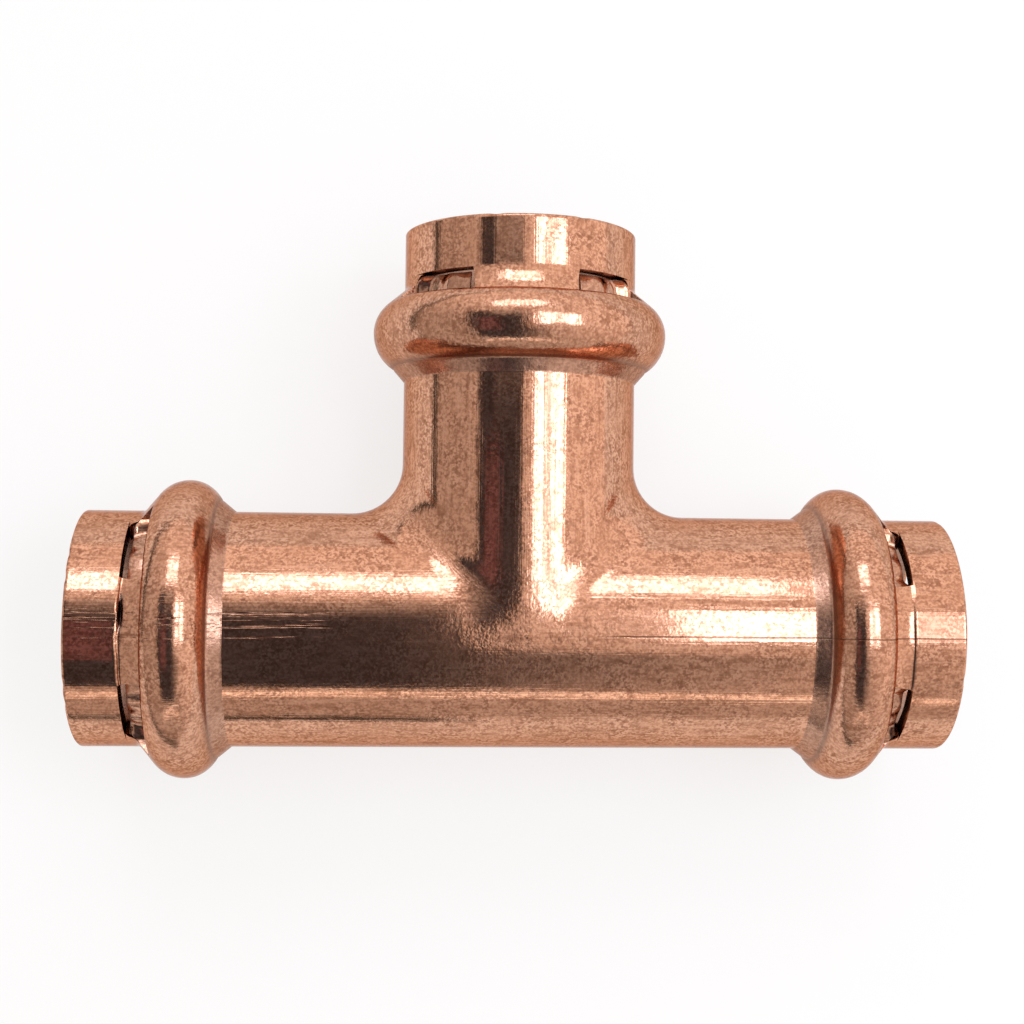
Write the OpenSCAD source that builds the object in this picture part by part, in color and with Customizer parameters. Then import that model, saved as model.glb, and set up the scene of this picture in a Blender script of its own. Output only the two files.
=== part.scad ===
// Equal tee that is pressed onto copper tube, with a rubber ring in the bead of each end.
// The run lies along X and the branch along +Y, their axes cross at the origin, and sizes are in mm.

/* [Tube] */
// Outside diameter of the tube that slides into each end
tube_od = 15.875; // [15.5:0.125:16.25]
// Room between the tube and the socket, on the radius
socket_clearance = 0.1; // [0.06:0.02:0.2]

/* [Body] */
// Run length, mouth to mouth
run_length = 68.4; // [66:0.2:76]
// Distance from the run's axis to the branch mouth
branch_reach = 32; // [31.8:0.2:36]
// Outside diameter of the run, the branch and the collars
body_od = 18.65; // [18.5:0.05:18.9]
// Radius of the blend between run and branch
blend_radius = 4; // [3:0.1:4.2]
// Distance from a mouth to the shoulder that stops the tube
socket_depth = 17.8; // [16:0.1:18]
// Diameter of the passage inside the shoulders
passage_d = 14.8; // [13.8:0.1:15]
// Size of the broken edges at each mouth
edge_break = 0.2; // [0.1:0.05:0.4]
// Amount by which the branch is slimmer than the run, on the radius, so that their walls cross cleanly
branch_relief = 0.03; // [0.02:0.01:0.06]

/* [Bead] */
// Outside diameter over a bead
bead_od = 23.6; // [23.4:0.1:24]
// Radius of a bead's rounded section
bead_round = 2.8; // [2.7:0.05:2.9]
// Slope of a bead's flanks
bead_slope = 50; // [46:1:54]
// Distance from a mouth to the bead's crest
bead_setback = 8.15; // [8.1:0.05:8.6]
// Wall thickness of a bead
bead_wall = 1.2; // [1.1:0.05:1.25]
// Radius of the fillet on the mouth side of a bead
mouth_fillet = 0.6; // [0.4:0.1:0.8]
// Radius of the fillet on the inner side of a bead
inner_fillet = 1; // [0.6:0.1:1.4]
// Depth of the crease between a bead's rounded section and its inner flank
crease = 0.1; // [0.06:0.01:0.16]

/* [Windows] */
// Angle that each window spans
window_span = 38; // [34:1:42]
// Length of the whole collar, from the mouth to the windows
collar_length = 4.05; // [3.8:0.05:4.2]
// Length of a window along the axis
window_length = 1.85; // [1.6:0.05:1.9]
// Thickness of the tab in a window
tab_thickness = 0.55; // [0.4:0.05:0.6]
// Slit between a tab and the collar
tab_slit = 0.42; // [0.3:0.02:0.6]
// Room beside a tab
tab_side_gap = 0.2; // [0.15:0.05:0.4]
// Radius of the corner of a tab that faces the side of the tee
tab_corner = 0.9; // [0.5:0.1:1]
// Depth of the pressed valley on the top and bottom of each end
valley_depth = 0.7; // [0.3:0.05:0.8]

/* [Seal] */
// Room between a seal and the groove around it
seal_gap = 0.03; // [0.02:0.01:0.06]
// Room between a seal and the tube
seal_tube_gap = 0.03; // [0.02:0.01:0.06]
// Room beside a seal, at the middle of its groove
seal_room = 0.27; // [0.2:0.01:0.4]

/* [Hidden] */

$fn = 96;
// Depth by which added pieces bite into the walls they join
bite = 0.03;
past = 1;

body_r = body_od / 2;
branch_r = body_r - branch_relief;
passage_r = passage_d / 2;
side_passage_r = passage_r - branch_relief;
bore_r = tube_od / 2 + socket_clearance;
run_reach = run_length / 2;
window_end = collar_length + window_length;

bead_mid = bead_od / 2 - bead_round;

seal_outer = bead_od / 2 - bead_wall - seal_gap;
seal_inner = tube_od / 2 + seal_tube_gap;
seal_round = (seal_outer - seal_inner) / 2;
seal_mid = (seal_outer + seal_inner) / 2;

groove_round = seal_round + seal_gap + seal_room;
groove_mid = bead_od / 2 - bead_wall - groove_round;

// The blend is swept from -blend_turn to blend_turn about the crotch
blend_turn = 78;
blend_slices = 26;
blend_steps = 9;

LEFT = 180;
RIGHT = 0;
UP = 90;

// Moves an end from the frame of its mouth, with z pointing out, to its place on the tee
module at_end(turn, reach) {
    rotate([0, 0, turn]) rotate([0, 90, 0]) translate([0, 0, reach]) children();
}

module at_all_ends() {
    at_end(LEFT, run_reach) children();
    at_end(RIGHT, run_reach) children();
    at_end(UP, branch_reach) children();
}

// Sloping flank between a bead's round and the wall of radius r, with a fillet at its foot
// It lies towards the mouth with side 1 and inwards with -1, and inset sets it in from the round's edge
module bead_flank(r, side, inset, fillet) {
    out = [cos(bead_slope), side * sin(bead_slope)];
    down = [-sin(bead_slope), side * cos(bead_slope)];
    top = [bead_mid, 0] + (bead_round - inset) * out;
    foot = top + (top[0] - r) / sin(bead_slope) * down;
    centre = foot + fillet * [1, side * tan(bead_slope / 2)];
    cut = fillet + bite / 2;
    polygon([[bead_mid - past / 2, 0], top, foot + bite * down]);
    difference() {
        polygon([centre - [cut, 0], centre - cut * out, foot - [past / 3, 0]]);
        translate(centre) circle(cut);
    }
}

// Section of a bead on a wall of radius r, in the frame of the mouth
module bead_section(r) {
    translate([0, -bead_setback]) {
        translate([bead_mid, 0]) circle(bead_round);
        bead_flank(r, 1, bite, mouth_fillet);
        bead_flank(r, -1, crease, inner_fillet);
    }
}

// Section of the run's outside, in the frame of one mouth, with both edges broken
module run_section() {
    polygon([
        [0, -run_length],
        [body_r - edge_break, -run_length],
        [body_r, edge_break - run_length],
        [body_r, -edge_break],
        [body_r - edge_break, 0],
        [0, 0]
    ]);
    bead_section(body_r);
    translate([0, -run_length]) mirror([0, 1]) bead_section(body_r);
}

// Section of the branch's outside, from the run's axis to the mouth
module branch_section() {
    polygon([
        [0, -branch_reach],
        [branch_r, -branch_reach],
        [branch_r, -edge_break],
        [branch_r - edge_break, 0],
        [0, 0]
    ]);
    bead_section(branch_r);
}

// Section of a socket's hollow, from its shoulder to past the mouth
module socket_section() {
    translate([0, -socket_depth]) square([bore_r, socket_depth + past]);
    translate([groove_mid, -bead_setback]) circle(groove_round);
    polygon([
        [0, -2 * edge_break],
        [bore_r, -2 * edge_break],
        [bore_r + 2 * edge_break + past, past],
        [0, past]
    ]);
}

// Point of the blend at turn s, with v from 0 on the run to 1 on the branch
function blend_centre(run_r, side_r, fillet, s) =
    let (z = (side_r + fillet) * sin(s))
    [(side_r + fillet) * cos(s), sqrt(pow(run_r + fillet, 2) - z * z), z];

function blend_point(run_r, side_r, fillet, s, v) =
    let (
        c = blend_centre(run_r, side_r, fillet, s),
        to_run = [0, -c[1], -c[2]] / (run_r + fillet),
        to_side = [-c[0], 0, -c[2]] / (side_r + fillet),
        spread = acos(to_run * to_side)
    )
    c + (fillet + bite) * (sin((1 - v) * spread) * to_run + sin(v * spread) * to_side) / sin(spread);

// Wedge that fills one crotch, with a concave face like that left by a ball rolled along it
module blend_wedge(run_r, side_r, fillet) {
    row = blend_steps + 2;
    turns = [for (i = [0:blend_slices]) blend_turn * (2 * i / blend_slices - 1)];
    points = [for (s = turns) each [
        0.85 * side_r * [cos(s), cos(s), sin(s)],
        for (j = [0:blend_steps]) blend_point(run_r, side_r, fillet, s, j / blend_steps)
    ]];
    skin = [for (i = [0:blend_slices - 1]) for (j = [0:row - 1])
        let (a = i * row + j, b = i * row + (j + 1) % row)
        each [[a, b + row, b], [a, a + row, b + row]]];
    last = blend_slices * row;
    caps = [for (j = [1:row - 2]) each [[0, j, j + 1], [last, last + j + 1, last + j]]];
    polyhedron(points, concat(skin, caps));
}

module both_crotches(run_r, side_r, fillet) {
    blend_wedge(run_r, side_r, fillet);
    mirror([1, 0, 0]) blend_wedge(run_r, side_r, fillet);
}

module outer_shape() {
    at_end(RIGHT, run_reach) rotate_extrude() run_section();
    at_end(UP, branch_reach) rotate_extrude() branch_section();
    both_crotches(body_r, branch_r, blend_radius);
}

module hollow_shape() {
    at_end(RIGHT, run_reach) rotate_extrude() {
        translate([0, -run_length + past]) square([passage_r, run_length - 2 * past]);
        socket_section();
        translate([0, -run_length]) mirror([0, 1]) socket_section();
    }
    at_end(UP, branch_reach) rotate_extrude() {
        translate([0, -branch_reach]) square([side_passage_r, branch_reach]);
        socket_section();
    }
    both_crotches(passage_r, side_passage_r, blend_radius + body_r - passage_r);
}

// The four windows of an end, each a sector cut through the wall
module windows() {
    for (turn = [45:90:315])
        rotate([0, 0, turn - window_span / 2]) rotate_extrude(angle = window_span)
            translate([bore_r - past, -window_end]) square([bead_od / 2 - bore_r + past, window_length]);
}

// The valleys pressed into the top and the bottom of an end, between the windows and a hair shorter
module valleys() {
    span = 90 - window_span + 4;
    floor_r = body_r - valley_depth;
    foot = -window_end + bite;
    for (turn = [0, 180])
        rotate([0, 0, turn - span / 2]) rotate_extrude(angle = span) polygon([
            [body_r + bite, -collar_length],
            [floor_r, -collar_length - 0.65 * window_length],
            [floor_r, -collar_length - 0.9 * window_length],
            [body_r, foot],
            [bead_od / 2, foot],
            [bead_od / 2, -collar_length]
        ]);
}

// Outline of a tab seen along the radius, with x from the mouth inwards and one free corner rounded
module tab_outline() {
    half = (bore_r + tab_thickness) * sin(window_span / 2) - tab_side_gap;
    start = collar_length + tab_slit;
    stem = window_end + 0.5;
    corner = [start + tab_corner, half - tab_corner];
    arc = [for (t = [90:15:180]) corner + tab_corner * [cos(t), sin(t)]];
    polygon(concat([[stem, half]], arc, [[start, -half], [stem, -half]]));
}

// The tabs that stand in the windows of an end, just outside the tube
module tabs() {
    inner = bore_r + 0.05;
    for (turn = [45, 225], flip = [0, 1])
        intersection() {
            rotate_extrude() translate([inner, -window_end - past]) square([tab_thickness, window_end + past]);
            mirror([0, flip, 0]) rotate([0, 0, turn]) rotate([0, 90, 0]) linear_extrude(body_r) tab_outline();
        }
}

module tee_body() {
    color([0.72, 0.45, 0.33]) {
        difference() {
            outer_shape();
            hollow_shape();
            at_all_ends() windows();
            at_all_ends() valleys();
        }
        at_all_ends() tabs();
    }
}

module seal(turn, reach) {
    color([0.1, 0.1, 0.1]) at_end(turn, reach)
        rotate_extrude() translate([seal_mid, -bead_setback]) circle(seal_round);
}

module run_left_seal() {
    seal(LEFT, run_reach);
}

module run_right_seal() {
    seal(RIGHT, run_reach);
}

module branch_seal() {
    seal(UP, branch_reach);
}

tee_body();
run_left_seal();
run_right_seal();
branch_seal();
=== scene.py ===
# A copper press tee with rubber rings in its beads, lying on a pale floor under soft studio light.
import math
from collections import namedtuple
from types import SimpleNamespace

import bmesh
import bpy
import numpy as np
from mathutils import Matrix, Vector

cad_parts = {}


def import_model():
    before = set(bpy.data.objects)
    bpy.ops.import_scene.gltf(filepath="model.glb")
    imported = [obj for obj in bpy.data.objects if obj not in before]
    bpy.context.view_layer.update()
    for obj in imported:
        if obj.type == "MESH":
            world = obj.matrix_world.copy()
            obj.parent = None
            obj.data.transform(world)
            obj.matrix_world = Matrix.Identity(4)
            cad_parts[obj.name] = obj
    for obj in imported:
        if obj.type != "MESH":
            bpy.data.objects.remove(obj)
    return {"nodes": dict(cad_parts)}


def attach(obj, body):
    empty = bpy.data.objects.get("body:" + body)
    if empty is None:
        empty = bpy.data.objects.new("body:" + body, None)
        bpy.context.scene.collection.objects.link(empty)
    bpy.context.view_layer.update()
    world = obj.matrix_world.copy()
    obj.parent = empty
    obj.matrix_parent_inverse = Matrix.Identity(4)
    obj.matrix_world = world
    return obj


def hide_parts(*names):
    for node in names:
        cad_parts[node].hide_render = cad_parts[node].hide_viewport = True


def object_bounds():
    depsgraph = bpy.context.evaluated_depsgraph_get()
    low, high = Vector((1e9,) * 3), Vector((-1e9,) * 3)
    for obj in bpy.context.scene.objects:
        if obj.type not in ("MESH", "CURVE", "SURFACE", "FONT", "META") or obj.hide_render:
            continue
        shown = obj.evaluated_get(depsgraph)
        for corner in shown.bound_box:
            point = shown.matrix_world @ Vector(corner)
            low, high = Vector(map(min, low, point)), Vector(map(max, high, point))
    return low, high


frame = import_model()
cad_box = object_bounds()

# Sizes in mm, as in the part's source. Distances along an end are measured from its mouth inwards.
MM = 0.001
BODY_R = 9.325
BORE_R = 8.0375
PASSAGE_R = 7.4
RUN_REACH = 34.2
BRANCH_REACH = 32.0
BLEND = 4.0
SOCKET = 17.8
BEAD_R = 11.8
BEAD_ROUND = 2.8
BEAD_MID = BEAD_R - BEAD_ROUND
SETBACK = 8.15
SLOPE = math.radians(50)
MOUTH_FILLET = 0.6
GROOVE_ROUND = 1.60125
GROOVE_MID = 8.99875
COLLAR = 4.05
WINDOW_END = 5.9

# Direction of each end, the direction that its columns turn to first,
# and the distance of its mouth from the middle
ENDS = {
    "left": ((-1, 0, 0), (0, 1, 0), RUN_REACH),
    "right": ((1, 0, 0), (0, 1, 0), RUN_REACH),
    "branch": ((0, 1, 0), (1, 0, 0), BRANCH_REACH),
}
# Distance from the middle at which the outside of an end starts, and from a mouth at which its inner surface
# ends
JOIN = 16.0
PASSAGE_END = 18.2
# Points closer than the first are merged, and the edges get a bevel of the second width
MERGE = 0.0008
EDGE_BEVEL = 0.08

# Angles around an end, in degrees from its top, and the columns on each stretch
WINDOW_CENTRES = (45, 135, 225, 315)
HALF_SPAN = 19
WEB_CENTRES = (0, 180)
WEB_HALF = 45 - HALF_SPAN
WINDOW_COLUMNS = 20
WEB_COLUMNS = 28

# Rows across a window from the bead to the collar, from there to the rim, and in the bore back to the windows
WINDOW_ROWS = [5.87, 5.8, 5.65, 5.5, 5.3, 5.1, 4.9, 4.7, 4.55, 4.45, 4.35, 4.27, 4.2, 4.15, COLLAR]
COLLAR_ROWS = [3.9, 3.75, 3.6, 3.45, 3.3, 3.1, 2.8, 2.3, 1.6, 1.0, 0.6, 0.32]
BORE_ROWS = [0.42, 0.8, 1.6, 2.4, 3.2, COLLAR]
# The bore just before and behind the groove, and the rows in the groove and behind it
BEFORE_GROOVE = 6.4
BEHIND_GROOVE = 10.2
GROOVE_ROWS = 40
SOCKET_ROWS = 8
# The rim from the outside to the bore, as distances and radii, and a number that sets each rim's wear
RIM = [
    (0.2, BODY_R), (0.12, BODY_R - 0.02), (0.05, BODY_R - 0.08), (0.0, BODY_R - 0.2), (0.0, BODY_R - 0.45),
    (0.0, BORE_R + 0.42), (0.06, BORE_R + 0.3), (0.2, BORE_R + 0.14), (0.3, BORE_R + 0.04),
]
RIM_SEEDS = {"left": 0.4, "right": 2.1, "branch": 4.0}

# Inner side of each bead: its crease, the start of the plain tube behind it, and the slope between them
# in degrees. That slope is found at the top and the bottom, and the beads are fuller at the sides.
Flare = namedtuple("Flare", "crease tube slope")
FLARES = {"left": Flare(10.5, 11.75, 15), "right": Flare(10.45, 11.85, 11), "branch": Flare(10.9, 12.1, 14)}
FLARE_SIDE_R = 10.15
CREASE_R = 10.05
CREASE_SIDE_RISE = 0.25
# Roundness of the bend between tube and flare, as a share of the flare's length
FLARE_BEND = 0.07
# Rows on the tube, on the flare, from the crease to the crest, and from the crest to the windows
TUBE_ROWS = 5
FLARE_ROWS = 12
BEAD_ROWS = 26
CREST_ROWS = 22
# The look of a bead starts at this radius, and is this strong on the flare, where its darker tint is painted
# shade
BEAD_FOOT_R = 9.5
FLARE_BEAD_SHADE = 1.7
# How much painted shade the flare has, which also makes it rougher, and that of each row from CREASE_LEAD
# rows behind the crease up the bead
FLARE_SHADE = 0.45
CREASE_SHADE = [0.5, 0.7, 1.0, 1.0, 0.75, 0.55, 0.4, 0.25, 0.15, 0.1]
CREASE_LEAD = 3

# Webs between the windows at each end: depth and length of the step down from the collar,
# how far it reaches into the collar, how uneven it is, the depth of the tear in the upper web,
# and the climb to the bead
Web = namedtuple("Web", "depth soft reach uneven tear rise")
WEBS = {
    "left": Web(0.2, 0.25, 0.1, 0.6, 0.45, 0.45),
    "right": Web(0.08, 0.2, 0.0, 0.3, 0.0, 0.35),
    "branch": Web(0.0, 0.5, 0.3, 0.0, 0.0, 0.6),
}
WEB_END = 5.8
# Rows of the collar that the webs also shape
WEB_IN_COLLAR = 5
# Share by which a web is narrower at the bead, and where that ends on the bead
WEB_TAPER = 0.1
TAPER_END = 7.5
# Distance and angle of the tear's middle
TEAR_AT = 4.3
TEAR_TURN = 9

# Tabs of each end: where they start, the gap beside them in degrees,
# and how far their corner at the web stands out
Tab = namedtuple("Tab", "start gap corner")
TABS = {"left": Tab(4.42, 0.6, 0.0), "right": Tab(4.4, 0.3, 0.27), "branch": Tab(4.2, 4.5, 0.0)}
TAB_RISE = 0.45
TAB_THICK = 0.2
TAB_WIDTH = 5.6
# Length of a tab under the bead, and length and depth of its round corner
TAB_STEM = 0.5
TAB_ROUND = 0.6
TAB_ROUND_DEPTH = 0.4
# Share of a tab's width at which the corner at the web ends, and over which it fades
TAB_CORNER_END = 0.16
TAB_CORNER_FADE = 0.1
# Heights of a tab's crown and ripple, and how fast it drops from a distance towards the mouth
TAB_CROWN = 0.12
TAB_RIPPLE = 0.08
TAB_DROP = 0.08
TAB_DROP_FROM = 5.7
# Width and highest radius of the brim at the far side of a tab
BRIM_WIDTH = 0.9
BRIM_R = BODY_R + 0.2
TAB_ROWS = 12
TAB_COLUMNS = 25
# Where the round corner of a window starts, and the columns that follow it
CORNER_START = 4.15
CORNER_COLUMNS = 8

# Flat spots at the front and the back of the crossing: half their width and the columns across them,
# and the place, the reach, the least height and the steps of their evening out
SPOT_HALF = 3.2
SPOT_COLUMNS = 13
SPOT_Y = 2.0
SPOT_REACH = 6.0
SPOT_LEAST_Z = 7.6
SPOT_STEPS = 60
# Rows along the run, the blend and the branch
RUN_ROWS = 27
BLEND_ROWS = 19
BRANCH_ROWS = 21


def smooth(t):
    """A soft step from 0 to 1."""
    t = np.clip(t, 0, 1)
    return t * t * (3 - 2 * t)


def hump(t):
    """A soft bump between -1 and 1."""
    return np.clip(1 - np.square(t), 0, None) ** 2


def ring_angles():
    """Columns around an end from its top, in degrees, with exact columns at the window edges."""
    edges = [centre + side * HALF_SPAN for centre in WINDOW_CENTRES for side in (-1, 1)]
    stops = [0, *edges, 360]
    out = []
    for a, b in zip(stops, stops[1:]):
        on_window = b - a == 2 * HALF_SPAN
        n = WINDOW_COLUMNS if on_window else round((b - a) / (2 * WEB_HALF) * WEB_COLUMNS)
        out += list(np.linspace(a, b, n, endpoint=False))
    return np.array(out)


PHI = ring_angles()
COLS = len(PHI)
HALF = COLS // 2


def column(angle):
    """The column nearest to an angle."""
    return int(np.argmin(np.abs(PHI - angle % 360)))


def turned_from(angle):
    """Turn of every column from an angle, between -180 and 180 degrees."""
    return (PHI - angle + 180) % 360 - 180


def on_web(centre):
    """Which columns lie on the web around an angle, with its edges."""
    return np.abs(turned_from(centre)) < WEB_HALF + 0.01


class Skin:
    """Vertices and faces in mm, with marks for painted shade in recesses, gaps and creases, and for how far a
    vertex lies up on a bead.
    """

    def __init__(self):
        self.points = []
        self.faces = []
        self.marks = {"inside": [], "bead": []}

    def add(self, grid, inside, bead):
        base = len(self.points)
        self.points += np.asarray(grid, float).reshape(-1, 3).tolist()
        for name, value in (("inside", inside), ("bead", bead)):
            spread = np.broadcast_to(np.asarray(value, float), grid.shape[:2])
            self.marks[name] += spread.reshape(-1).tolist()
        return base

    def sheet(self, grid, inside=0.0, bead=0.0, closed=False, leave_out=None):
        """Quads over a grid of rows and columns, apart from the cells that leave_out marks."""
        base = self.add(grid, inside, bead)
        rows, cols = grid.shape[:2]
        for i in range(rows - 1):
            for j in range(cols if closed else cols - 1):
                if leave_out is not None and leave_out[i, j]:
                    continue
                k = (j + 1) % cols
                self.faces.append((base + i * cols + j, base + i * cols + k,
                                   base + (i + 1) * cols + k, base + (i + 1) * cols + j))
        return base

    def mesh(self, name):
        me = bpy.data.meshes.new(name)
        me.from_pydata([[c * MM for c in p] for p in self.points], [], self.faces)
        for mark, values in self.marks.items():
            me.attributes.new(mark, "FLOAT", "POINT").data.foreach_set("value", values)
        bm = bmesh.new()
        bm.from_mesh(me)
        bmesh.ops.remove_doubles(bm, verts=bm.verts, dist=MERGE * MM)
        bmesh.ops.delete(bm, geom=[v for v in bm.verts if not v.link_faces], context="VERTS")
        bmesh.ops.recalc_face_normals(bm, faces=bm.faces)
        even_spots(bm)
        for f in bm.faces:
            f.smooth = True
        bm.to_mesh(me)
        bm.free()
        return me


def neighbour_mean(v):
    """Mean place of the vertices that share an edge with one."""
    return sum((e.other_vert(v).co for e in v.link_edges), Vector()) / len(v.link_edges)


def even_spots(bm):
    """Evens out the flat spots between run and branch, at the front and the back."""
    spots = []
    for v in bm.verts:
        off = math.hypot(v.co.x, v.co.y - SPOT_Y * MM) / (SPOT_REACH * MM)
        if off < 1 and abs(v.co.z) > SPOT_LEAST_Z * MM:
            spots.append((v, 0.5 * float(smooth(1 - off))))
    for _ in range(SPOT_STEPS):
        means = [neighbour_mean(v) for v, share in spots]
        for (v, share), mean in zip(spots, means):
            v.co = v.co.lerp(mean, share)


def arc(centre, radius, start, end, n):
    """Points (distance, radius) on an arc, with angles from the crest towards the mouth."""
    t = np.linspace(start, end, n)
    return [(centre[0] - radius * math.sin(x), centre[1] + radius * math.cos(x)) for x in t]


def inner_flank(name):
    """Distances and radii of an end from its start to the crest of its bead, for each column."""
    crease, tube, slope = FLARES[name]
    start = ENDS[name][2] - JOIN
    side = np.sin(np.radians(PHI)) ** 2
    foot = BODY_R + (tube - crease) * math.tan(math.radians(slope))
    foot = foot + (FLARE_SIDE_R - foot) * side
    edge = CREASE_R + CREASE_SIDE_RISE * side
    turn = np.arccos((edge - BEAD_MID) / BEAD_ROUND)
    flat = np.ones(COLS)
    rows = [(a * flat, BODY_R * flat) for a in np.linspace(start, tube + 0.15, TUBE_ROWS)]
    for t in np.linspace(0, 1, FLARE_ROWS) ** 1.5:
        rise = (math.hypot(t, FLARE_BEND) - FLARE_BEND) / (math.hypot(1, FLARE_BEND) - FLARE_BEND)
        rows.append(((tube + (crease + 0.2 - tube) * t) * flat, BODY_R + (foot - BODY_R) * rise))
    for behind, share in ((0.1, 0.25), (0.03, 0.7)):
        rows.append(((crease + behind) * flat, foot + share * (edge - foot)))
    reach = (crease - SETBACK) / np.sin(turn)
    for t in np.linspace(1, 0, BEAD_ROWS):
        rows.append((SETBACK + reach * np.sin(t * turn), BEAD_MID + BEAD_ROUND * np.cos(t * turn)))
    return np.array([r[0] for r in rows]), np.array([r[1] for r in rows])


def outer_path():
    """Outside of an end from the bead's crest to the mouth: rows before, within and after the windows."""
    window_turn = math.asin((SETBACK - WINDOW_END) / BEAD_ROUND)
    before = arc((SETBACK, BEAD_MID), BEAD_ROUND, 0, window_turn, CREST_ROWS)[1:]
    round_end = BEAD_MID + BEAD_ROUND * math.cos(SLOPE)
    foot = SETBACK - BEAD_ROUND * math.sin(SLOPE) - (round_end - BODY_R) / math.tan(SLOPE)
    centre = (foot - MOUTH_FILLET * math.tan(SLOPE / 2), BODY_R + MOUTH_FILLET)
    table = arc((SETBACK, BEAD_MID), BEAD_ROUND, window_turn, SLOPE, 6)
    for x in np.linspace(SLOPE, 0, 8):
        table.append((centre[0] + MOUTH_FILLET * math.sin(x), centre[1] - MOUTH_FILLET * math.cos(x)))
    table.append((0, BODY_R))
    table = np.array(table)[::-1]
    within = [(a, float(np.interp(a, table[:, 0], table[:, 1]))) for a in WINDOW_ROWS]
    after = [(a, BODY_R) for a in COLLAR_ROWS]
    return before, within, after


def inner_path():
    """Inside of an end from the rim to the passage, in the same three stretches."""
    chord = math.acos((BORE_R - GROOVE_MID) / GROOVE_ROUND)
    before = [(a, BORE_R) for a in BORE_ROWS]
    within = [(a, BORE_R) for a in WINDOW_ROWS[-2::-1] + [WINDOW_END]]
    after = [(BEFORE_GROOVE, BORE_R)]
    after += arc((SETBACK, GROOVE_MID), GROOVE_ROUND, chord, -chord, GROOVE_ROWS)
    after += [(a, BORE_R) for a in np.linspace(BEHIND_GROOVE, SOCKET - 0.05, SOCKET_ROWS)]
    after += [(SOCKET, BORE_R - 0.05), (SOCKET, PASSAGE_R + 0.12), (SOCKET + 0.04, PASSAGE_R + 0.04),
              (SOCKET + 0.12, PASSAGE_R), (PASSAGE_END, PASSAGE_R)]
    return before, within, after


def press_webs(radii, rows, path, name):
    """Shapes the top and bottom webs of an end, which climb from the collar to the bead."""
    web = WEBS[name]
    for centre in WEB_CENTRES:
        columns = on_web(centre)
        off = turned_from(centre)[columns]
        border = COLLAR - web.reach * np.sqrt(np.clip(1 - (off / WEB_HALF) ** 2, 0, 1))
        wave = 0.07 * np.sin(0.33 * off) + 0.04 * np.sin(0.95 * off + 1)
        border += web.uneven * wave * hump(off / WEB_HALF)
        for i in rows:
            a = path[i][0]
            climb = np.clip((a - border) / (WEB_END - border), 0, 1)
            step = web.depth * smooth((a - border) / web.soft) * (1 - climb)
            level = BODY_R - step + web.rise * climb ** 1.8
            if centre == 0:
                level -= web.tear * hump((a - TEAR_AT) / 0.2) * hump((off - TEAR_TURN) / 9)
            radii[i, columns] = level + np.interp(a, [WEB_END, WINDOW_ROWS[0], WINDOW_END], [0, 0.4, 1.0])


def narrow_webs(phi, a):
    """Narrows the webs towards the bead."""
    taper = np.interp(a[:, 0], [COLLAR, WINDOW_END, TAPER_END], [0, 1, 0])
    for centre in WEB_CENTRES:
        phi += np.where(on_web(centre), -WEB_TAPER * turned_from(centre), 0)[None, :] * taper[:, None]


def wear_rim(a, rim, name):
    """Makes the rows of a rim a little uneven and nicked."""
    turn = np.radians(PHI)
    seed = RIM_SEEDS[name]
    uneven = 0.03 + 0.02 * np.sin(2 * turn + seed) + 0.01 * np.sin(5 * turn + 2 * seed)
    for nick in (14 + 30 * seed, 97 * seed, 340 - 41 * seed, 333 + 3 * seed):
        uneven += 0.06 * hump(turned_from(nick) / 4)
    a[rim] += uneven[None, :] * np.interp(a[rim, 0], [0, 0.2, 0.42], [1, 0.6, 0])[:, None]


def corner_shift(a):
    """How far the round corner of a window stands in from its far side, in degrees."""
    rise = np.clip(a - CORNER_START, 0, 1)
    return np.degrees((1 - np.sqrt(1 - (1 - rise) ** 2)) / BODY_R)


def round_corners(phi, a, windows, stretches):
    """Rounds the corner of each window that lies away from the web, on the collar's side."""
    for k, (c0, c1) in enumerate(windows):
        far, way = (c1, 1) if k % 2 == 0 else (c0, -1)
        for rows in stretches:
            shift = corner_shift(a[rows, 0])
            for step in range(CORNER_COLUMNS):
                phi[rows, far + way * step] -= way * shift * (1 - step / CORNER_COLUMNS)


def window_walls(skin, base, columns, outer, inner):
    """Walls of a window between its columns, from its first and last row outside to those in the bore."""
    def at(i, j):
        return base + i * COLS + j

    for near, far in zip(outer, reversed(inner)):
        for j in range(*columns):
            skin.faces.append((at(near, j), at(near, j + 1), at(far, j + 1), at(far, j)))
    for j in columns:
        for k in range(outer[1] - outer[0]):
            skin.faces.append((at(outer[0] + k, j), at(outer[0] + k + 1, j),
                               at(inner[1] - k - 1, j), at(inner[1] - k, j)))


def end_points(name, a, r, phi):
    """Points of an end in the tee's frame."""
    along, side, reach = ENDS[name]
    a, r, t = np.broadcast_arrays(a, r, np.radians(phi))
    out = (reach - a)[..., None] * np.array(along, float)
    up = (r * np.cos(t))[..., None] * np.array([0, 0, 1.0])
    return out + up + (r * np.sin(t))[..., None] * np.array(side, float)


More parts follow.
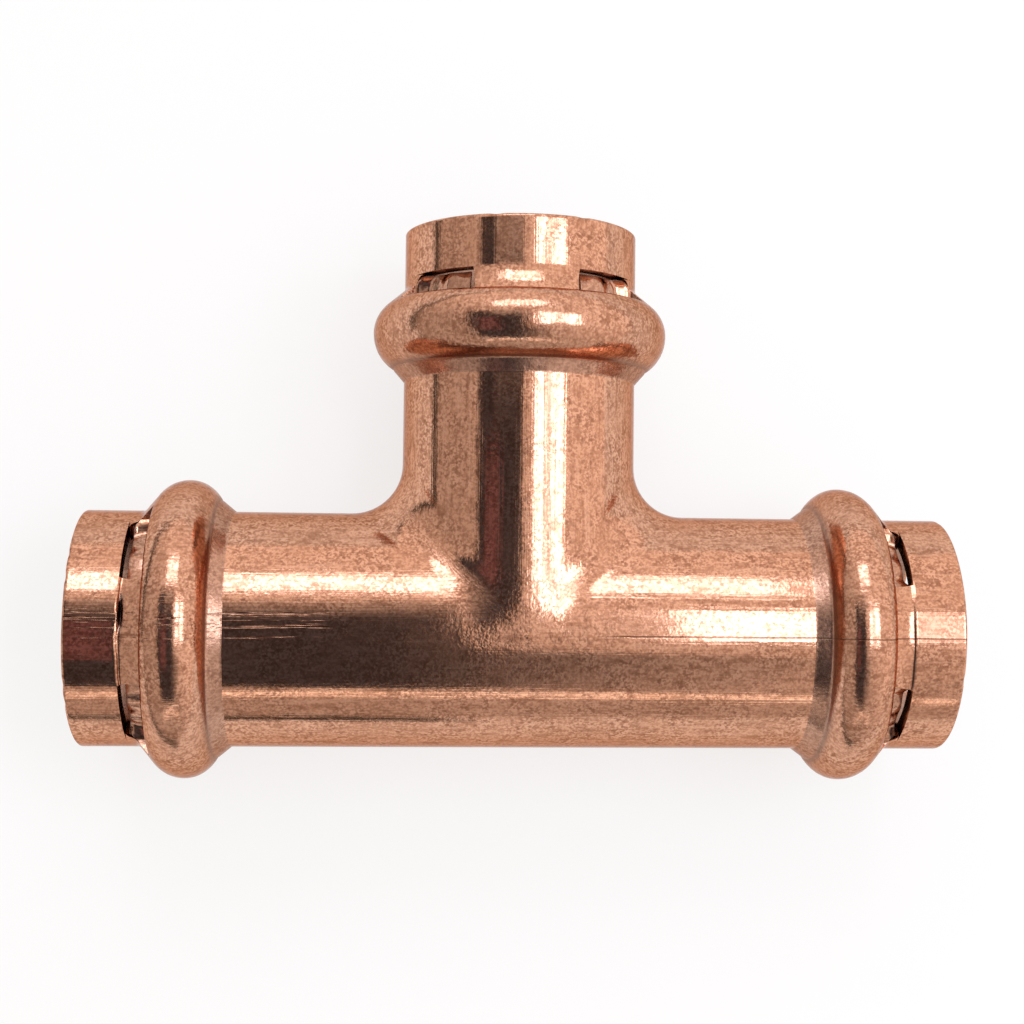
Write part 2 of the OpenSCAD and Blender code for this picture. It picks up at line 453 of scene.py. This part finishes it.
def socket(skin, name):
    """One end: bead, windows, collar, rim, socket, groove and tube stop."""
    flank_a, flank_r = inner_flank(name)
    to_window, in_window, collar = outer_path()
    to_window = list(zip(flank_a[:, 0], flank_r[:, 0])) + to_window
    bore, bore_window, deep = inner_path()
    path = to_window + in_window + collar + RIM + bore + bore_window + deep
    # First and last row of the windows outside, the first row of the rim, and the windows' rows in the bore
    first = len(to_window) - 1
    last = first + len(in_window)
    rim = last + 1 + len(collar)
    back = rim + len(RIM) + len(bore) - 1
    inner_last = back + len(bore_window)

    a = np.repeat(np.array([p[0] for p in path])[:, None], COLS, 1)
    radii = np.repeat(np.array([p[1] for p in path])[:, None], COLS, 1)
    a[:len(flank_a)] = flank_a
    radii[:len(flank_a)] = flank_r
    phi = np.repeat(PHI[None, :], len(path), 0)
    press_webs(radii, range(first + 1, last + 1 + WEB_IN_COLLAR), path, name)
    narrow_webs(phi, a)
    wear_rim(a, slice(rim - 1, rim + len(RIM) + 1), name)
    windows = [(column(c - HALF_SPAN), column(c + HALF_SPAN)) for c in WINDOW_CENTRES]
    round_corners(phi, a, windows, (slice(first, last), slice(back + 1, inner_last + 1)))

    cut = np.zeros(a.shape, bool)
    # Painted shade: greyer and darker in the bore, near black at the window edges in the bore
    inside = np.zeros(a.shape)
    inside[rim + len(RIM):] = 1
    for c0, c1 in windows:
        cut[first:last, c0:c1] = True
        cut[back:inner_last, c0:c1] = True
        inside[back:inner_last + 1, [c0, c1]] = 2
    # The flare behind the bead is rougher and has painted shade, and the crease has darker painted shade
    flare = TUBE_ROWS + 1
    crease = len(flank_a) - BEAD_ROWS
    crease_shade_start = crease - CREASE_LEAD
    inside[flare:crease_shade_start] = FLARE_SHADE
    inside[crease_shade_start:crease_shade_start + len(CREASE_SHADE)] = np.array(CREASE_SHADE)[:, None]
    # Painted shade in the tear of the upper web
    if WEBS[name].tear:
        dark = 4 * hump((a[first:last] - TEAR_AT) / 0.28) * hump((PHI - TEAR_TURN) / 11)
        inside[first:last] += np.minimum(dark, 2)
    bead = smooth(radii - BEAD_FOOT_R)
    bead[rim:] = 0
    # The flare also gets a strong bead look, whose darker tint is painted shade
    bead[flare:crease] = FLARE_BEAD_SHADE

    base = skin.sheet(end_points(name, a, radii, phi), inside, bead, True, cut)
    for columns in windows:
        window_walls(skin, base, columns, (first, last), (back, inner_last))
    tabs(skin, name, np.array(to_window[-1:] + in_window)[::-1])


def grid_edge(n, m):
    """Places around the edge of a grid of n rows and m columns, in order."""
    edge = [(0, j) for j in range(m)] + [(i, m - 1) for i in range(1, n)]
    return edge + [(n - 1, j) for j in range(m - 2, -1, -1)] + [(i, 0) for i in range(n - 2, 0, -1)]


def tabs(skin, name, outside):
    """The four tabs of an end: crowned plates that bend up to the far side of their windows."""
    start, gap, corner = TABS[name]
    # Share of the width from the web to the far side, and of the length from the collar to the bead
    u = np.linspace(0, 1, TAB_COLUMNS)[None, :] ** 0.8
    v = np.linspace(0, 1, TAB_ROWS)[:, None]
    bend = np.clip(1 - (1 - u) * TAB_WIDTH / TAB_ROUND, 0, 1)
    stand = corner * smooth((TAB_CORNER_END - u) / TAB_CORNER_FADE)
    front = start + TAB_ROUND_DEPTH * (1 - np.sqrt(1 - bend ** 2)) - stand
    a = front + v * (WINDOW_END + TAB_STEM - front)
    width = 2 * HALF_SPAN - gap - corner_shift(a)
    turned = gap - HALF_SPAN + u * width
    # Distance from the far side, in mm
    room = (1 - u) * np.radians(width) * (BORE_R + 0.7)
    drop = TAB_DROP * np.square(np.clip(TAB_DROP_FROM - a, 0, None))
    top = BORE_R + TAB_RISE - drop - TAB_CROWN * (2 * u - 1) ** 2
    top += TAB_RIPPLE * np.cos(14 * u + 0.7) + stand
    brim = np.minimum(np.interp(a, outside[:, 0], outside[:, 1]), BRIM_R) - 0.03
    top += (brim - top) * smooth(1 - room / BRIM_WIDTH)
    under = np.maximum(top - TAB_THICK, BORE_R + 0.04)
    # The plate is a little rougher with light painted shade away from the far side, its front edge has dark
    # painted shade, and its underside near-black painted shade
    shade = 0.4 * (room > 0.6)
    shade[0] = 1.5
    steps = [i * TAB_COLUMNS + j for i, j in grid_edge(TAB_ROWS, TAB_COLUMNS)]
    for k, centre in enumerate(WINDOW_CENTRES):
        phi = centre + (1 if k % 2 == 0 else -1) * turned
        upper = skin.sheet(end_points(name, a, top, phi), shade)
        lower = skin.sheet(end_points(name, a, under, phi), 2.0)
        for p, q in zip(steps, steps[1:] + steps[:1]):
            skin.faces.append((upper + p, upper + q, lower + q, lower + p))


def crossing(skin, r, blend, flat, run_join, branch_join, inside):
    """Run, branch and the blend between them, which opens into a flat spot at the front and the back."""
    s = np.radians(90 - PHI[:HALF + 1])
    c = np.maximum(np.cos(s), 1e-6)
    n = np.sin(s)
    reach = np.hypot((r + blend) * c, flat * np.abs(n) ** 3)
    fillet = reach / c - r
    rows = []
    for t in np.linspace(0, 1, RUN_ROWS):
        rows.append(np.stack([run_join + (reach - run_join) * t, r * c, r * n], -1))
    to_run = np.stack([0 * c, -c, -n], -1)
    to_side = np.stack([-c, 0 * c, -n], -1)
    spread = 2 * np.arcsin(c / math.sqrt(2))
    centre = np.stack([reach, reach, (r + fillet) * n], -1)
    for v in np.linspace(0, 1, BLEND_ROWS)[1:]:
        run_share = np.sin((1 - v) * spread) / np.sin(spread)
        side_share = np.sin(v * spread) / np.sin(spread)
        rows.append(centre + fillet[:, None] * (run_share[:, None] * to_run + side_share[:, None] * to_side))
    for t in np.linspace(0, 1, BRANCH_ROWS)[1:]:
        rows.append(np.stack([r * c, reach + (branch_join - reach) * t, r * n], -1))
    grid = np.array(rows)
    skin.sheet(grid, inside)
    skin.sheet(grid * [-1, 1, 1], inside)
    if flat:
        blend_rows = slice(RUN_ROWS - 1, RUN_ROWS - 1 + BLEND_ROWS)
        t = np.linspace(0, 1, SPOT_COLUMNS)[None, :, None]
        for edge in (grid[blend_rows, 0], grid[blend_rows, HALF]):
            skin.sheet(edge[:, None] * (1 - t) + edge[:, None] * [-1, 1, 1] * t, inside)
    run_back(skin, r, flat, run_join, inside)


def run_back(skin, r, flat, run_join, inside):
    """The half of the run away from the branch, with rows that meet those of the crossing."""
    along = [np.linspace(run_join, flat, RUN_ROWS)]
    if flat:
        along.append(np.linspace(flat, -flat, SPOT_COLUMNS)[1:-1])
        along.append(np.linspace(-flat, -run_join, RUN_ROWS))
    else:
        along.append(np.linspace(0, -run_join, RUN_ROWS)[1:])
    t = np.radians(np.append(PHI[HALF:], 360))
    rows = [np.stack([np.full(t.shape, x), r * np.sin(t), r * np.cos(t)], -1) for x in np.concatenate(along)]
    skin.sheet(np.array(rows), inside)


def tee_skin():
    """The copper body as one skin, with small bevels on its edges."""
    skin = Skin()
    crossing(skin, BODY_R, BLEND, SPOT_HALF, JOIN, JOIN, 0.0)
    # The passage's wall is rougher and has painted shade
    crossing(skin, PASSAGE_R, BLEND + BODY_R - PASSAGE_R, 0.0, RUN_REACH - PASSAGE_END,
             BRANCH_REACH - PASSAGE_END, 1.0)
    for name in ENDS:
        socket(skin, name)
    obj = bpy.data.objects.new("tee_skin", skin.mesh("tee_skin"))
    bpy.context.collection.objects.link(obj)
    bevel = obj.modifiers.new("edges", "BEVEL")
    bevel.width = EDGE_BEVEL * MM
    bevel.segments = 2
    bevel.limit_method = "ANGLE"
    bevel.angle_limit = math.radians(40)
    bevel.harden_normals = True
    return obj


class Nodes:
    """Short calls to build a node tree."""

    def __init__(self, tree):
        self.tree = tree
        tree.nodes.clear()

    def put(self, node, key, value):
        """Links a socket to an input, or sets the input's value."""
        if isinstance(value, bpy.types.NodeSocket):
            self.tree.links.new(value, node.inputs[key])
        else:
            node.inputs[key].default_value = value

    def add(self, kind, values=None, **props):
        node = self.tree.nodes.new("ShaderNode" + kind)
        for key, value in props.items():
            setattr(node, key, value)
        for key, value in (values or {}).items():
            self.put(node, key, value)
        return node

    def math(self, op, a, b=0.0, c=0.0):
        return self.add("Math", {0: a, 1: b, 2: c}, operation=op).outputs[0]

    def times(self, a, b):
        return self.math("MULTIPLY", a, b)

    def vector(self, op, a, b=(0, 0, 0)):
        return self.add("VectorMath", {0: a, 1: b}, operation=op).outputs[0]

    def span(self, value, low, high, to_low=0.0, to_high=1.0):
        """A soft step between two values."""
        values = {"Value": value, "From Min": low, "From Max": high, "To Min": to_low, "To Max": to_high}
        return self.add("MapRange", values, interpolation_type="SMOOTHSTEP").outputs[0]

    def noise(self, vector, scale, detail=2.0, rough=0.5):
        values = {"Vector": vector, "Scale": scale, "Detail": detail, "Roughness": rough}
        return self.add("TexNoise", values).outputs["Fac"]

    def mix(self, factor, a, b):
        return self.add("Mix", {0: factor, 6: a, 7: b}, data_type="RGBA").outputs[2]

    def place(self, kind="Object"):
        return self.add("TexCoord").outputs[kind]

    def place_in_mm(self):
        return self.add("VectorMath", {0: self.place(), "Scale": 1 / MM}, operation="SCALE").outputs[0]


def material(name):
    m = bpy.data.materials.new(name)
    m.use_nodes = True
    return m, Nodes(m.node_tree)


def copper_textures(n):
    """Noises, zones and marks that the copper's colour, roughness and height share, with places in mm."""
    t = SimpleNamespace()
    p = n.place_in_mm()
    x, y, z = n.add("SeparateXYZ", {0: p}).outputs
    branch = n.span(n.math("SUBTRACT", y, n.math("ABSOLUTE", x)), -1.0, 1.0)

    def stretched(share):
        """Places that change slowly along the tube they lie on."""
        return n.vector("MULTIPLY", p, n.mix(branch, (share, 1, 1, 1), (1, share, 1, 1)))

    wavy = stretched(0.4)
    t.broad = n.noise(p, 0.16, 3, 0.55)
    t.cloud = n.noise(p, 0.8, 4, 0.6)
    t.speck = n.noise(p, 2.6, 2, 0.6)
    t.fine = n.noise(p, 4.6, 1, 0.5)
    t.blot = n.noise(wavy, 1.7, 3, 0.6)
    t.ripple = n.noise(wavy, 0.5, 2, 0.5)
    t.streak = n.noise(stretched(0.05), 3.0, 4, 0.65)
    t.line = n.noise(stretched(0.006), 1.6, 4, 0.7)
    # Some patches are grainier than others
    t.patch = n.span(n.noise(p, 0.45, 3, 0.6), 0.38, 0.62, 0.5, 1.0)
    t.bead = n.add("Attribute", attribute_name="bead").outputs["Fac"]
    t.inside = n.add("Attribute", attribute_name="inside").outputs["Fac"]
    front = n.span(z, 6.0, 7.5)
    # A fine parting line along the right half of the run
    part = n.math("ADD", y, n.math("MULTIPLY_ADD", t.cloud, 0.12, 0.01))
    part = n.span(n.math("ABSOLUTE", part), 0.09, 0.03)
    part = n.times(n.times(part, n.span(x, 5.0, 8.0)), front)
    # Drag marks near the left end
    drag = n.span(n.noise(n.vector("MULTIPLY", p, (0.02, 1, 1)), 4.0, 3, 0.7), 0.54, 0.62)
    drag = n.times(drag, n.times(n.span(x, -12.0, -18.0), front))
    drag = n.times(drag, n.span(n.math("ABSOLUTE", n.math("SUBTRACT", y, 0.5)), 1.4, 0.9))
    t.marks = n.math("MAXIMUM", part, drag)
    # The middle of the tee is mottled, where the branch was drawn out
    off = n.math("POWER", n.math("SUBTRACT", y, 1.5), 2.0)
    off = n.math("SQRT", n.math("MULTIPLY_ADD", x, x, off))
    t.middle = n.times(n.span(off, 8.0, 3.0), front)
    return t


def copper_colour(n, t):
    """Bare copper under layers of clouds, beads, grain, blots, specks, streaks and marks, and painted shade
    in recesses, gaps and creases.
    """
    pale_grain = n.times(n.span(t.fine, 0.58, 0.42, 0, 0.5), t.patch)
    dark_grain = n.times(n.span(t.fine, 0.44, 0.62, 0, 0.6), t.patch)
    specks = n.times(n.span(t.speck, 0.50, 0.64, 0, 0.8), t.patch)
    layers = [
        (n.span(t.cloud, 0.45, 0.75, 0, 0.65), (0.46, 0.22, 0.135, 1)),
        (n.times(t.bead, 0.4), (0.54, 0.29, 0.195, 1)),
        (pale_grain, (0.86, 0.50, 0.35, 1)),
        (dark_grain, (0.36, 0.16, 0.095, 1)),
        (n.span(t.blot, 0.52, 0.66, 0, 0.5), (0.34, 0.15, 0.085, 1)),
        (specks, (0.30, 0.13, 0.075, 1)),
        (n.span(t.streak, 0.52, 0.70, 0, 0.5), (0.80, 0.46, 0.32, 1)),
        (n.span(t.streak, 0.46, 0.30, 0, 0.4), (0.34, 0.15, 0.09, 1)),
        (n.times(t.marks, 0.75), (0.16, 0.07, 0.04, 1)),
        # Painted shade: greyer and darker where the mark is up to 1, near black from 1 to 2
        (n.span(t.inside, 0.0, 1.0, 0, 0.7), (0.30, 0.21, 0.175, 1)),
        (n.span(t.inside, 1.0, 2.0, 0, 0.9), (0.04, 0.022, 0.016, 1)),
    ]
    colour = n.mix(n.span(t.broad, 0.35, 0.65), (0.72, 0.375, 0.242, 1), (0.63, 0.32, 0.2, 1))
    for share, tint in layers:
        colour = n.mix(share, colour, tint)
    return colour


def copper_roughness(n, t):
    """Smooth metal, rougher in clouds and specks, in the middle, on the beads and where painted shade lies.
    """
    rough = n.math("ADD", n.span(t.cloud, 0.3, 0.7, 0.06, 0.11), n.span(t.speck, 0.45, 0.7, 0, 0.06))
    rough = n.math("MULTIPLY_ADD", t.middle, 0.04, rough)
    rough = n.math("MULTIPLY_ADD", t.bead, 0.05, rough)
    return n.math("ADD", rough, n.span(t.inside, 0.0, 1.0, 0, 0.16))


def copper_height(n, t):
    """Height of the grain, streaks, lines, ripples and marks, in micrometres."""
    grit = n.math("MULTIPLY_ADD", t.bead, 5.0, n.math("MULTIPLY_ADD", t.middle, 6.0, 4.5))
    height = n.times(n.math("MULTIPLY_ADD", t.speck, 1.2, t.fine), n.times(grit, t.patch))
    for texture, rise in ((t.streak, 3.6), (t.ripple, 16.0), (t.line, 15.0), (t.marks, -10.0)):
        height = n.math("MULTIPLY_ADD", texture, rise, height)
    return height


def copper():
    m, n = material("copper")
    t = copper_textures(n)
    bump = n.add("Bump", {"Height": copper_height(n, t), "Strength": 1.0, "Distance": 1e-6})
    shader = n.add("BsdfPrincipled", {
        "Base Color": copper_colour(n, t), "Metallic": 1.0, "Roughness": copper_roughness(n, t),
        "Specular Tint": (0.72, 0.52, 0.44, 1), "Normal": bump.outputs[0]})
    n.add("OutputMaterial", {"Surface": shader.outputs[0]})
    return m


def rubber():
    m, n = material("seal_rubber")
    p = n.place_in_mm()
    cloud = n.noise(p, 1.2, 3)
    fine = n.noise(p, 9.0, 3, 0.6)
    colour = n.mix(n.span(cloud, 0.3, 0.7), (0.012, 0.012, 0.013, 1), (0.03, 0.029, 0.028, 1))
    rough = n.span(fine, 0.3, 0.7, 0.42, 0.58)
    bump = n.add("Bump", {"Height": fine, "Strength": 0.6, "Distance": 1e-5})
    shader = n.add("BsdfPrincipled", {"Base Color": colour, "Roughness": rough, "Normal": bump.outputs[0]})
    n.add("OutputMaterial", {"Surface": shader.outputs[0]})
    return m


def floor():
    """White paper, which looks lit from itself to the camera and in the metal but keeps the shadow."""
    lowest = cad_box[0][2]
    gap = 2e-5
    bpy.ops.mesh.primitive_grid_add(x_subdivisions=2, y_subdivisions=2, size=6, location=(0, 0, lowest - gap))
    obj = bpy.context.object
    obj.name = "floor"
    m, n = material("floor_paper")
    grain = n.noise(n.place(), 400, 3)
    colour = n.mix(grain, (0.90, 0.90, 0.90, 1), (0.93, 0.93, 0.93, 1))
    paper = n.add("BsdfPrincipled", {"Base Color": colour, "Roughness": 0.9})
    ray = n.add("LightPath").outputs
    seen = n.math("MAXIMUM", ray["Is Glossy Ray"], ray["Is Transmission Ray"])
    seen = n.math("MAXIMUM", ray["Is Camera Ray"], seen)
    white = n.add("Emission", {"Color": (1, 1, 1, 1), "Strength": 1.0})
    both = n.add("MixShader", {0: n.times(seen, 0.72), 1: paper.outputs[0], 2: white.outputs[0]})
    n.add("OutputMaterial", {"Surface": both.outputs[0]})
    obj.data.materials.append(m)


def world():
    """Warm walls that are paler to the right and far side, with a bright slit on the near side."""
    w = bpy.data.worlds.new("studio")
    w.use_nodes = True
    n = Nodes(w.node_tree)
    x, y, z = n.add("SeparateXYZ", {0: n.place("Generated")}).outputs
    slit = n.times(n.span(y, -0.91, -0.895), n.span(y, -0.865, -0.88))
    slit = n.times(n.times(slit, n.span(z, 0.2, 0.4)), n.span(x, 0.7, 0.3))
    walls = n.mix(n.span(n.math("ADD", x, y), -1.0, 1.0), (0.62, 0.56, 0.52, 1), (1.2, 1.08, 1.01, 1))
    colour = n.mix(slit, walls, (1.8, 1.7, 1.6, 1))
    colour = n.mix(n.add("LightPath").outputs["Is Camera Ray"], colour, (1, 1, 1, 1))
    back = n.add("Background", {"Color": colour, "Strength": 1.0})
    n.add("OutputWorld", {"Surface": back.outputs[0]})
    bpy.context.scene.world = w


def flag(name, corners, height, dark, pale=None, fade=None):
    """A card that only shows in the metal, with corners in mm, which may fade from dark to pale."""
    me = bpy.data.meshes.new(name)
    me.from_pydata([(x * MM, y * MM, height * MM) for x, y in corners], [], [tuple(range(len(corners)))])
    obj = bpy.data.objects.new(name, me)
    bpy.context.collection.objects.link(obj)
    for ray in ("camera", "diffuse", "transmission", "volume_scatter", "shadow"):
        setattr(obj, "visible_" + ray, False)
    m, n = material(name)
    colour = n.mix(fade(n), dark, pale) if fade else dark
    shade = n.add("Emission", {"Color": colour, "Strength": 1.0})
    n.add("OutputMaterial", {"Surface": shade.outputs[0]})
    me.materials.append(m)


def ceiling_fade(n):
    """Pale to the right and at the far side."""
    x, y, _ = n.add("SeparateXYZ", {0: n.place()}).outputs
    far = n.times(n.span(y, 0.025, 0.078), n.span(x, -0.085, -0.07))
    return n.math("MAXIMUM", n.span(x, -0.02, 0.06), far)


def flags():
    """Dark cards above the tee and along the floor, in mm."""
    over = [(-135, 82), (3, 82), (3, 0), (4, -30), (12, -45), (62, -60), (62, -215), (-135, -215)]
    flag("ceiling_flag", over, 150, (0.075, 0.075, 0.09, 1), (0.58, 0.53, 0.5, 1), ceiling_fade)
    flag("warm_flag", [(-100, 25), (-54, 25), (-54, -78), (-100, -78)], 149, (0.22, 0.125, 0.14, 1))
    ground = cad_box[0][2] / MM + 0.1
    far = 2500
    near = 150
    dark = (0.09, 0.085, 0.08, 1)
    flag("near_flag", [(-far, -far), (0, -far), (0, -near), (-far, -near)], ground, dark)
    flag("left_flag", [(-far, -20), (-near, -20), (-near, far), (-far, far)], ground, dark)


def lamp(name, place, aim, width, height, radiance):
    """A cool soft box at a place, facing a point, with the brightness that it shows in a mirror."""
    data = bpy.data.lights.new(name, "AREA")
    data.shape = "RECTANGLE"
    data.size = width
    data.size_y = height
    data.energy = radiance * math.pi * width * height
    data.color = (0.88, 1.0, 1.2)
    obj = bpy.data.objects.new(name, data)
    bpy.context.collection.objects.link(obj)
    obj.location = place
    obj.rotation_euler = (Vector(place) - Vector(aim)).to_track_quat("Z", "Y").to_euler()
    obj.visible_camera = False


def lamps():
    """A large lamp at the far side, and three side by side above the right half of the tee, in m."""
    lamp("far_light", (-0.02, 0.439, 0.409), (0, 0, 0), 0.36, 0.19, 2.6)
    y = 0.031
    length = 0.108
    lamp("side_light", (0.1115, y, 0.203), (0.1115, y, 0), 0.135, length, 1.2)
    lamp("side_strip_near", (0.06, y, 0.2), (0.06, y, 0), 0.032, length, 3.0)
    lamp("side_strip_far", (0.146, y, 0.2), (0.146, y, 0), 0.066, length, 3.0)


def camera():
    """The photograph's camera, in mm, radians and pixels, as found from the object's outline."""
    place = Vector((-7.710, 4.374, 134.040))
    yaw = 0.07455
    pitch = 0.03315
    roll = -0.01062
    focal = 1659.7
    photo_width = 1024
    ahead = Vector((math.sin(yaw) * math.cos(pitch), math.sin(pitch), -math.cos(yaw) * math.cos(pitch)))
    right = Vector((math.cos(yaw), 0, math.sin(yaw)))
    down = ahead.cross(right)
    x = math.cos(roll) * right + math.sin(roll) * down
    y = math.sin(roll) * right - math.cos(roll) * down
    data = bpy.data.cameras.new("camera")
    data.sensor_width = 36
    data.lens = focal / photo_width * data.sensor_width
    data.shift_x = -0.0332
    data.shift_y = 0.0098
    data.clip_start = 0.001
    obj = bpy.data.objects.new("camera", data)
    bpy.context.collection.objects.link(obj)
    obj.matrix_world = Matrix.Translation(place * MM) @ Matrix((x, y, -ahead)).transposed().to_4x4()
    bpy.context.scene.camera = obj


bpy.context.scene.view_settings.view_transform = "Standard"
camera()
world()
floor()
flags()
lamps()

skin = tee_skin()
skin.data.materials.append(copper())
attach(skin, "root")
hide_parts("tee_body")

black = rubber()
for name in ("run_left_seal", "run_right_seal", "branch_seal"):
    for slot in frame["nodes"][name].material_slots:
        slot.material = black
